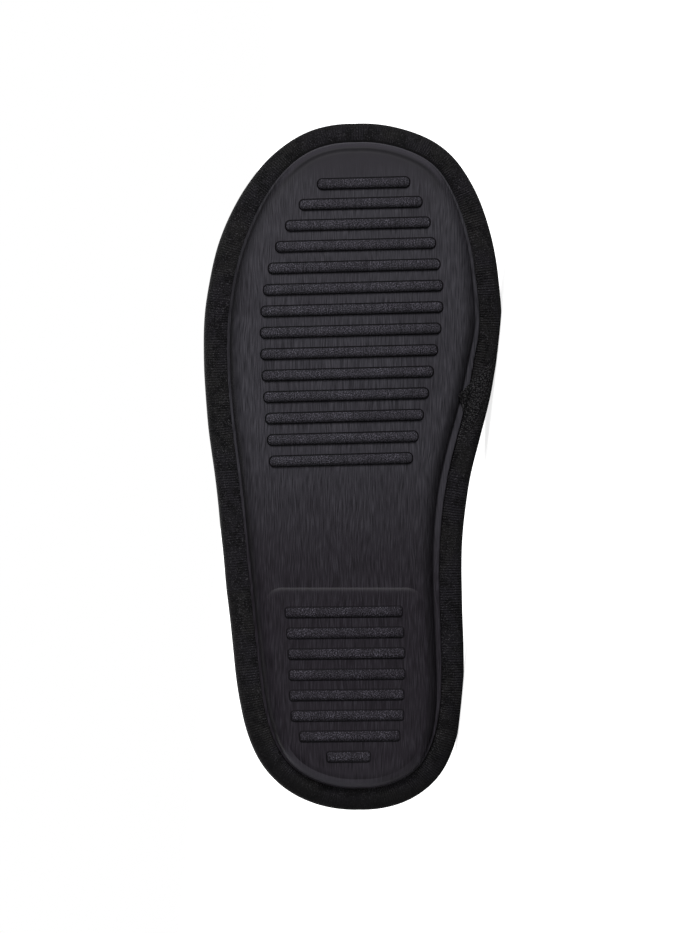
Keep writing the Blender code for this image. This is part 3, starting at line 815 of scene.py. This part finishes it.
def coverRows():
    # The cover's section from under the outsole, round the side, to under the footbed
    along, hidden = ring[:, 0], cover["hiddenInset"]
    thickness = platformThickness(along)
    lower, upper = smoothed(lowerEdgeRows, 32), smoothed(upperEdgeRows, 18)
    fromHeel, full, until, end = cover["seam"]
    seam = smoothStep(along, fromHeel, full) * smoothStep(along, end, until) * (ring[:, 1] > 0)
    rows = [(hidden, np.zeros(ringCount))]
    for side, height in lower:
        groove = cover["seamDepth"] * math.exp(-(((side - cover["seamInset"]) / 0.55) ** 2))
        rows.append((side, height + groove * seam))
    low, high = lower[-1][1], upper[0][1]
    rows += [(0.0, low + (thickness - high - low) * share) for share in (0.2, 0.4, 0.6, 0.8)]
    rows += [(side, thickness - depth) for side, depth in upper]
    return rows + [(hidden, thickness)]


def waviness(points):
    # Slow, uneven pull of the knit over the foam
    return np.array([noise.noise(Vector((x / 17, y / 17, z / 9 + 4))) for x, y, z in points])


def makeCover():
    skin = Skin()
    rows = coverRows()
    rings = []
    for number, (side, height) in enumerate(rows):
        points = raised(inset(side), cover["foot"] + height)
        if 3 < number < len(rows) - 4:
            pull = waviness(points) * cover["waviness"]
            pull += cover["loft"] * smoothStep(side, 4.0, 0.5)
            points[:, :2] -= ringInward * pull[:, None]
        rings.append(points)
    section = travelled(np.array([(side, height[0]) for side, height in rows]))
    pattern = np.stack(np.broadcast_arrays(ringRun, section[:, None]), axis=-1)
    skin.grid(np.stack(rings), pattern, closed=True)
    skin.cap(rings[0], slipper["hiddenColumns"])
    skin.cap(rings[-1], slipper["hiddenColumns"], flip=True)
    addLap(skin)
    piece = skin.build("platform_cover", [coverFinish()], sharp=None)
    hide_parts("platform")


def sideAt(border, along, inner=True):
    # How far across one side of a border lies, at a place along the shoe
    half = border[halfSteps:][::-1] if inner else border[: halfSteps + 1]
    return np.interp(along, half[:, 0], half[:, 1])


def lapPoint(along, side, height, depth):
    # Depth is measured inwards from the cover's own surface, or from the lip's
    roundShare = float(np.clip(height / cover["lapRoundHeight"], 0, 1))
    if depth < 0:
        depth *= 1 - (1 - cover["lapSideShare"]) * roundShare
    across = float(sideAt(inset(side + depth * roundShare), along))
    lift = cover["foot"] + height + depth * (1 - roundShare) + float(toeSpring(along))
    return (along, across, lift)


def addLap(skin):
    # The strip's end folded under and lapped over its start, on the inner side. Its corner
    # reaches over the outsole's lip near the fold.
    near, far, span = cover["lapInset"], cover["lapCorner"], cover["lapLength"]
    around, lengthwise, over = cover["lapSteps"]
    profile = [(near, 0.0), *smoothed(lowerEdgeRows, around), (0.1, cover["lapHeight"])]
    # Steps from the fold to the strip's root: forward, share of the thickness
    steps = [(0.0, -0.5), (0.25, -0.15), (0.42, 0.25), (0.36, 0.6), (0.12, 0.88), (-0.3, 1.0)]
    steps += [(-span * share, 1 - share**2) for share in np.linspace(0, 1, lengthwise)[1:]]
    slope = (cover["lapInnerAlong"] - cover["lapOuterAlong"]) / near
    points = []
    for forward, proud in steps:
        reach = min(max(far + cover["lapCornerFall"] * forward, near), far)
        sides = np.linspace(reach, near, over)[:-1]
        row = []
        for side, height in [*zip(sides, tabled(lapOverLip, sides)), *profile]:
            uneven = 0.25 * noise.noise(Vector((side / 2.5, height / 2.5, forward / 6)))
            rim = (0.0, 0.55, 0.85)[len(row)] if len(row) < 3 and reach > near else 1.0
            line = cover["lapOuterAlong"] + slope * side
            depth = -proud * cover["lapThickness"] * rim - 0.05
            row.append(lapPoint(line + forward + uneven, side, height, depth))
        points.append(row)
    points = np.array(points)
    run = np.concatenate([np.linspace(-4, 0, over)[:-1], travelled(np.array(profile))])
    pattern = np.stack(np.broadcast_arrays(points[..., 0], run), axis=-1)
    skin.grid(points, pattern, shadeAndLap=smoothStep(-np.array(steps)[:, :1], span, span * 0.6))


# Footbed: a soft pad with a pile face, dished at the heel
footbed = {
    "inset": 6.7,
    "toeExtra": 3.0,
    "heelDish": 1.3,
    "archRise": 1.6,
    "pileDepth": 0.45,
    "columns": 104,
    "steps": 400,  # points along each side
    "tone": (0.0200, 0.0200, 0.0228),
    "tipTone": (0.066, 0.066, 0.075),
    "fibreTone": (0.105, 0.105, 0.115),
}
footbedEdgeRows = (
    # inset from the footbed's own edge, height above the platform
    (0.6, 0.0), (0.0, 1.2), (0.3, 3.0), (1.5, 4.6), (3.8, 5.4),
)


def pileFinish(name, base, tips, scale):
    kit = Kit(name)
    place = kit.place()
    tufts = kit.cells(place, scale)
    fibres = kit.grain(place, scale * 2.4, detail=4.0, rough=0.75)
    clouds = kit.grain(place, 0.05)
    body = kit.layered(
        base,
        (kit.mask(tufts, 0.8, 0.1) * 0.45, tips),
        (kit.mask(fibres, 0.58, 0.8) * 0.5, footbed["fibreTone"]),
        (kit.mask(clouds, 0.45, 0.7) * 0.3, base),
    )
    layers = (1 - tufts, 0.35), (fibres, 0.2)
    return kit.cloth(body, 0.92 + fibres * 0.06, (0.03, 0.4), 0.10, *layers)


def footbedCrown(along, share):
    across = 4 * share * (1 - share)
    heel = np.exp(-(((along / length - 0.17) / 0.16) ** 2))
    arch = np.exp(-(((along / length - 0.42) / 0.13) ** 2)) * np.maximum(0.0, share - 0.35)
    return -footbed["heelDish"] * across * heel + footbed["archRise"] * across * arch


def pileLift(points):
    # Tufts and slow swells of the pile, across a flat plan
    values = []
    for x, y in points[..., :2].reshape(-1, 2):
        tuft = noise.noise(Vector((x / 2.3, y / 2.3, 5.0))) + 0.5 * noise.noise(Vector((x, y, 9.0)))
        swell = noise.noise(Vector((x / 16, y / 16, 3.0)))
        values.append(tuft * footbed["pileDepth"] + swell * 0.35)
    return np.array(values).reshape(points.shape[:-1])


def denser(border, steps):
    # The same border with more points on each side, its two tips kept
    half = len(border) // 2
    closed = np.concatenate([border, border[:1]])
    first, second = respaced(closed[: half + 1], steps + 1), respaced(closed[half:], steps + 1)
    return np.concatenate([first, second[1:-1]])


def makeFootbed():
    skin = Skin()
    edge = footbed["inset"] + footbed["toeExtra"] * fade(ring[:, 0], slipper["toeFade"])
    base = cover["foot"] + slipper["gap"]
    rings = []
    for side, height in smoothed(footbedEdgeRows, 16):
        points = denser(softened(inset(edge + side)), footbed["steps"])
        rings.append(raised(points, platformThickness(points[:, 0]) + base + height))
    for points in rings[3:-1]:
        points[:, :2] -= inwardOf(points[:, :2], smooth=6) * pileLift(points)[:, None] * 0.5
    skin.stack(rings)
    skin.cap(rings[0], slipper["hiddenColumns"])

    def crown(points, share):
        rim = smoothStep(np.minimum(share, 1 - share), 0.0, 0.03)
        return footbedCrown(points[..., 0], share) + pileLift(points) * rim

    skin.cap(rings[-1], footbed["columns"], crown=crown, flip=True)
    finish = pileFinish("footbed_pile", footbed["tone"], footbed["tipTone"], 1.1)
    piece = skin.build("footbed_pad", [finish], sharp=None)
    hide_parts("insole")


# Upper: a padded knit vamp, open at the back and underneath
vamp = {
    "wall": 2.8,
    "featherInset": 3.3,
    "rows": 120,
    "columns": 150,
    "sideBulge": 3.6,
    "bulgeLevel": 0.3,
    "widthPower": 3.1,
    "heightPower": 2.2,
    "toeRound": 36.0,
    "toeRoundPower": 2.5,
    "toplineInner": 0.478,
    "toplineOuter": 0.458,
    "throat": 0.585,
    "toplineSweep": 1.7,
    "ribPitch": 1.15,
    "loopPitch": 0.85,
    "ribDepth": 0.26,
    "tone": (0.0090, 0.0085, 0.0100),
    "ribTone": (0.0560, 0.0530, 0.0600),
    "fluffTone": (0.080, 0.077, 0.083),
    "liningTone": (0.0180, 0.0180, 0.0205),
    "liningTips": (0.060, 0.060, 0.068),
}
spineRows = (
    # along, height as a share of the instep, ridge offset as a share of the ball width
    (0.44, 1.08, 0.040), (0.58, 1.00, 0.048), (0.68, 0.86, 0.056), (0.78, 0.73, 0.056),
    (0.88, 0.63, 0.046), (0.99, 0.56, 0.011),
)
creases = (
    # along, centre angle, half span in degrees, slant, half width, depth (ridges are negative)
    (196, 78, 62, 7.0, 7.5, 1.25),
    (209, 104, 56, -6.0, 6.5, -0.75),
    (220, 92, 60, 5.0, 7.0, 1.00),
    (233, 74, 48, -5.0, 6.5, -0.55),
    (246, 100, 44, 4.0, 7.5, 0.70),
    (181, 118, 40, -9.0, 8.0, 0.70),
    (176, 58, 34, 9.0, 8.5, 0.60),
    (262, 66, 34, 6.0, 7.0, 0.55),
    (225, 150, 22, 12.0, 6.0, 0.65),
    (208, 27, 20, -11.0, 6.0, 0.60),
)
feather = inset(vamp["featherInset"])


def vampPoints(share, angle, depth=0.0, back=0.0):
    # Share runs from the topline (0) to the toe (1), and angle from the inner foot (0) over
    # the instep to the outer foot (pi). Depth goes into the wall, and back along the shoe.
    share, angle = np.broadcast_arrays(np.asarray(share, float), np.asarray(angle, float))
    inner = angle < math.pi / 2
    side = np.where(inner, 1.0, -1.0)
    rise = np.clip(np.sin(angle), 0, 1) ** (2 / vamp["heightPower"])
    reach = np.abs(np.cos(angle)) ** (2 / vamp["widthPower"])
    low = np.where(inner, vamp["toplineInner"], vamp["toplineOuter"])
    sweep = 1 - (1 - rise) ** vamp["toplineSweep"]
    topline = (low + (vamp["throat"] - low) * sweep) * length
    tip = length - vamp["featherInset"] - depth
    along = topline + (tip - topline) * np.sin(share * math.pi / 2) + back
    closing = np.clip(1 - (tip - along) / vamp["toeRound"], 0, 1)
    power = vamp["toeRoundPower"]
    dome = np.clip(1 - closing**power, 0, 1) ** (1 / power)
    high, offset = (tableCurve(spineRows, column, along / length) for column in (1, 2))
    height = np.maximum(0, high * slipper["instepHeight"] - depth) * dome
    ridge = (offset * dome + slipper["toeTipAcross"] * (1 - dome)) * ballWidth
    reachAlong = np.minimum(along + depth, length - vamp["featherInset"])
    outerFoot = -sideAt(feather, reachAlong, inner=False)
    footWidth = np.where(inner, sideAt(feather, reachAlong), outerFoot) - depth
    swell = rise / vamp["bulgeLevel"]
    bulge = vamp["sideBulge"] * swell * np.exp(1 - swell) * dome
    across = ridge + side * (np.maximum(0, footWidth - side * ridge) + bulge) * reach
    lift = platformTop(along) + slipper["gap"] + rise * height
    return np.stack([along, across, lift], axis=-1)


def evenAngles(share, count):
    # Angles that space the points evenly round one section, and how long it is
    angle = np.linspace(0, math.pi, 4000)
    run = travelled(vampPoints(share, angle))
    return np.interp(np.linspace(0, run[-1], count + 1), run, angle), run[-1]


def creaseDepth(along, angle):
    depth = np.zeros_like(along)
    degrees = np.degrees(angle)
    for place, centre, span, slant, width, deep in creases:
        turn = (degrees - centre) / span
        line = place + slant * turn + 2.0 * np.sin(turn * 2.2 + place)
        window = np.clip(1 - turn**2, 0, 1) ** 1.5
        depth += deep * window * np.exp(-(((along - line) / width) ** 2))
    return depth


def skinNormals(points):
    down = np.gradient(points, axis=0)
    across = np.gradient(points, axis=1)
    normal = np.cross(across, down)
    size = np.linalg.norm(normal, axis=-1, keepdims=True)
    return normal / np.maximum(size, 1e-9)


def knitFinish(name):
    kit = Kit(name)
    place = kit.place()
    u, v, _ = kit.parts(kit.pattern())
    ribs = knitHeight(kit, u, v, vamp["ribPitch"], vamp["loopPitch"], place)
    fuzz = kit.grain(place, 1.5, detail=4.0, rough=0.7)
    patches = kit.grain(place, 0.04, detail=3.0)
    body = kit.layered(
        kit.mix(ribs, vamp["tone"], vamp["ribTone"]),
        (kit.mask(fuzz, 0.52, 0.72) * 0.4, vamp["fluffTone"]),
        (kit.mask(patches, 0.45, 0.7) * 0.3, vamp["tone"]),
    )
    layers = (ribs, vamp["ribDepth"]), (fuzz, 0.12)
    return kit.cloth(body, 0.86 + fuzz * 0.1, (0.05, 0.45), 0.12, *layers)


def makeVamp():
    rows = vamp["rows"]
    angle = evenAngles(0.15, vamp["columns"])[0][None, :]
    share = np.minimum(np.linspace(0, 1, rows + 1), 0.9995)[:, None]
    outer, lining = (vampPoints(share, angle, depth) for depth in (0.0, vamp["wall"]))
    away = smoothStep(share, 0.03, 0.14) * smoothStep(1 - share, 0.0, 0.12)
    foot = smoothStep(np.minimum(angle, math.pi - angle), 0.04, 0.25)
    dent = creaseDepth(outer[..., 0], angle) * away * foot
    pull = skinNormals(outer) * dent[..., None]
    outer, lining = outer - pull, lining - pull * 0.8
    pattern = np.broadcast_arrays(travelled(outer[rows // 5]), outer[..., 0])
    pattern = np.stack(pattern, axis=-1)
    skin = Skin()
    skin.grid(outer, pattern)
    skin.grid(lining, pattern, finish=1, flip=True)
    skin.grid([outer[0], lining[0]], pattern[:2], finish=1)
    for edge in (0, -1):
        skin.grid([outer[:, edge], lining[:, edge]], [pattern[:, edge], pattern[:, edge]])
    skin.grid([outer[-1], lining[-1]], pattern[:2])
    pile = pileFinish("vamp_lining", vamp["liningTone"], vamp["liningTips"], 0.9)
    piece = skin.build("vamp", [knitFinish("upper_knit"), pile], sharp=None)
    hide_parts("upper")


# Binding: a tape folded over the topline, sewn down on both faces
binding = {
    "thickness": 0.9,
    "depth": 9.0,
    "fold": 1.9,
    "foldSteps": 14,
    "columns": 220,
    "pucker": 0.16,
    "puckerPitch": 3.2,
    "tone": (0.0100, 0.0095, 0.0112),
    "ribTone": (0.0380, 0.0365, 0.0410),
    "stitchInset": 1.7,
    "stitchLength": 2.3,
    "stitchPitch": 3.2,
    "stitchRadius": 0.26,
    "stitchSink": 0.22,  # of the thread's middle in the tape's face
    "stitchMargins": (3.0, 4.0),  # left free at the two ends
    "grooveWidth": 0.9,
    "threadTone": (0.075, 0.073, 0.080),
    "threadDark": (0.012, 0.012, 0.014),
}


def tapeFinish():
    kit = Kit("binding_tape")
    u, v, _ = kit.parts(kit.pattern())
    weave = (v * (math.pi / 0.75)).sine().size() * 0.7
    weave = weave + (u * (math.pi / 0.6)).sine().size() * 0.3
    fuzz = kit.grain(kit.place(), 2.0, detail=4.0, rough=0.7)
    body = kit.mix(weave * 0.8, binding["tone"], binding["ribTone"])
    body = kit.mix(kit.mask(fuzz, 0.55, 0.75) * 0.4, body, cover["fluffTone"])
    return kit.cloth(body, 0.8 + fuzz * 0.12, (0.01, 0.5), 0.15, (weave, 0.12), (fuzz, 0.08))


def threadFinish():
    kit = Kit("binding_thread")
    twist = kit.grain(kit.place(), 2.5)
    body = kit.mix(twist, binding["threadDark"], binding["threadTone"])
    normal = kit.relief((twist, 0.05))
    return kit.done(Base_Color=body, Roughness=0.5 + twist * 0.15, Normal=normal)


def bindingSection():
    # Distance in front of the vamp's edge, depth in its wall: the outer face, the fold and
    # the inner face, then back along the wall's edge
    near, far = slipper["gap"], slipper["gap"] + binding["thickness"]
    wall, deep = vamp["wall"], binding["depth"]
    face = [(deep, -near), (deep + 0.05, -near - 0.35), (deep - 0.25, -far + 0.12)]
    face += [(deep - 0.8, -far)] + [(along, -far) for along in np.linspace(deep - 1.5, 0, 8)]
    section = list(face)
    for angle in np.linspace(0, math.pi, binding["foldSteps"] + 1)[1:-1]:
        depth = wall / 2 - (wall / 2 + far) * math.cos(angle)
        section.append((-binding["fold"] * math.sin(angle), depth))
    section += [(along, wall - depth) for along, depth in face[::-1]]
    return np.array(section + [(-near, wall + near), (-near, -near)])


def makeBinding():
    section = bindingSection()
    ahead, into = section.T
    angle, run = evenAngles(0.0, binding["columns"])
    place = np.linspace(0, run, binding["columns"] + 1)
    face = slipper["gap"] + binding["thickness"] - 0.01
    fromStitches = ahead - binding["depth"] + binding["stitchInset"]
    groove = np.exp(-((fromStitches / binding["grooveWidth"]) ** 2))
    sink = groove * np.where(into < 0, into <= -face, -1.0 * (into >= vamp["wall"] + face))
    wave = 1.3 + 0.5 * np.cos(2 * math.pi * place / binding["puckerPitch"])
    depth = into + sink * binding["pucker"] * wave[:, None]
    points = vampPoints(0.0, angle[:, None], depth, ahead)
    around = travelled(np.concatenate([section, section[:1]]))
    skin = Skin()
    pattern = np.stack(np.broadcast_arrays(place[:, None], around), axis=-1)
    skin.grid(points, pattern, closed=True)
    for loop in (points[0], points[-1]):
        half = len(loop) // 2
        pair = np.stack([loop[:half], loop[::-1][:half]])
        skin.grid(pair, pair[..., :2])
    piece = skin.build("topline_tape", [tapeFinish()], sharp=60)
    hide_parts("topline_binding")


def addStitch(skin, start, end, out):
    # A short thread bowed out a little in its middle
    radius = binding["stitchRadius"]
    across = np.cross((end - start) / np.linalg.norm(end - start), out)
    angle = np.linspace(0, 2 * math.pi, 7)[:-1, None]
    circle = across * np.cos(angle) + out * np.sin(angle)
    # Share of the thread's length, size, bow
    halves = ((0, 0.25, -0.3), (0.12, 0.8, 0.1), (0.35, 1, 0.4))
    stations = halves + tuple((1 - share, size, bow) for share, size, bow in halves[::-1])
    rows = []
    for share, size, bow in stations:
        rows.append(start + (end - start) * share + (out * bow + circle * size) * radius)
    skin.grid(rows, np.zeros((len(rows), len(angle) + 1, 2)), closed=True)


def makeStitches():
    skin = Skin()
    angle, _ = evenAngles(0.0, 2000)
    face = slipper["gap"] + binding["thickness"] - binding["stitchSink"]
    back = binding["depth"] - binding["stitchInset"]
    for depth, away, name in ((-face, -1, "outside"), (vamp["wall"] + face, 1, "inside")):
        line = vampPoints(0.0, angle, depth, back)
        lift = vampPoints(0.0, angle, depth + away, back) - line
        run = travelled(line)
        first, last = binding["stitchMargins"]
        starts = np.arange(first, run[-1] - last, binding["stitchPitch"])
        for start in starts:
            where = start + np.array((0.0, 0.5, 1.0)) * binding["stitchLength"]
            ends, out = pointAt(run, line, where), pointAt(run, lift, where[1])
            addStitch(skin, ends[0], ends[2], out / np.linalg.norm(out))
        print(len(starts), "stitches", name)
    skin.build("topline_stitches", [threadFinish()], sharp=None)


# Camera, floor and lights
studio = {
    "lens": 150.0,
    "sensor": 36.0,
    "photoHeight": 933,
    "millimetresPerPixel": 0.42255,
    "aim": (144.8, -0.74, 10.0),  # the picture's centre on the shoe
    "floorTone": (0.60, 0.60, 0.60),
    "floorPaleTone": (0.62, 0.62, 0.62),
    "floorGlow": 0.80,  # only for the camera, so that the paper reads white
    "floorRadius": 30.0,  # metres
    "floorDrop": 0.0003,  # metres below the slipper
    "floorCorners": 64,
    "backgroundGlow": 1.0,
    "worldLight": 0.34,
    "keyFrom": (1.0, -0.9, 0.28),
    "keyStrength": 4.1,
    "keySpread": 22.0,  # degrees
    "backFrom": (-0.4, 0.8, 0.9),
    "backStrength": 4.2,
    "backSpread": 60.0,
}


def makeCamera():
    data = bpy.data.cameras.new("camera")
    data.lens = studio["lens"]
    data.sensor_width = studio["sensor"]
    data.clip_start, data.clip_end = 0.05, 60.0
    camera = inScene("camera", data)
    right, up, back = (lyingTurn @ Vector(v) for v in ((0, 1, 0), (1, 0, 0), (0, 0, -1)))
    turn = Matrix((right, up, back)).transposed().to_4x4()
    pictureHeight = studio["millimetresPerPixel"] * mm * studio["photoHeight"]
    distance = pictureHeight * studio["lens"] / studio["sensor"]
    aim = lyingTurn @ (Vector(studio["aim"]) * mm) + shoePlace
    camera.matrix_world = Matrix.Translation(aim + back * distance) @ turn
    bpy.context.scene.camera = camera


def makeFloor():
    mesh = bpy.data.meshes.new("floor")
    radius, drop, corners = studio["floorRadius"], studio["floorDrop"], studio["floorCorners"]
    angle = np.linspace(0, 2 * math.pi, corners + 1)[:-1]
    points = [(radius * math.cos(a), radius * math.sin(a), -drop) for a in angle]
    mesh.from_pydata(points, [], [list(range(corners))])
    kit = Kit("floor_paper")
    mottle = kit.grain(kit.place(), 0.002, detail=2.0)
    paper = kit.mix(mottle, studio["floorTone"], studio["floorPaleTone"])
    glow = kit.mix(kit.node("ShaderNodeLightPath"), (0, 0, 0), (1, 1, 1))
    kit.done(Emission_Color=glow, Emission_Strength=studio["floorGlow"], Specular_IOR_Level=0.0)
    mesh.materials.append(kit.done(Base_Color=paper, Roughness=0.95))
    inScene("floor", mesh)


def addSun(name, direction, strength, spread):
    data = bpy.data.lights.new(name, "SUN")
    data.energy = strength
    data.angle = math.radians(spread)
    light = inScene(name, data)
    light.rotation_euler = Vector(direction).to_track_quat("Z", "Y").to_euler()


def makeWorld():
    # One light all round for the slipper, and a white page for the camera
    world = bpy.data.worlds.new("studio")
    world.use_nodes = True
    bpy.context.scene.world = world
    nodes, links = world.node_tree.nodes, world.node_tree.links
    blend = nodes.new("ShaderNodeMixShader")
    links.new(nodes.new("ShaderNodeLightPath").outputs["Is Camera Ray"], blend.inputs[0])
    for socket, strength in ((1, studio["worldLight"]), (2, studio["backgroundGlow"])):
        light = nodes["Background"] if socket == 1 else nodes.new("ShaderNodeBackground")
        light.inputs["Color"].default_value = (1, 1, 1, 1)
        light.inputs["Strength"].default_value = strength
        links.new(light.outputs[0], blend.inputs[socket])
    links.new(blend.outputs[0], nodes["World Output"].inputs["Surface"])


def makeStudio():
    scene = bpy.context.scene
    scene.view_settings.view_transform = "Standard"
    makeCamera()
    makeFloor()
    makeWorld()
    addSun("key", studio["keyFrom"], studio["keyStrength"], studio["keySpread"])
    addSun("back", studio["backFrom"], studio["backStrength"], studio["backSpread"])


makeStudio()
makeOutsole()
makeCover()
makeFootbed()
makeVamp()
makeBinding()
makeStitches()
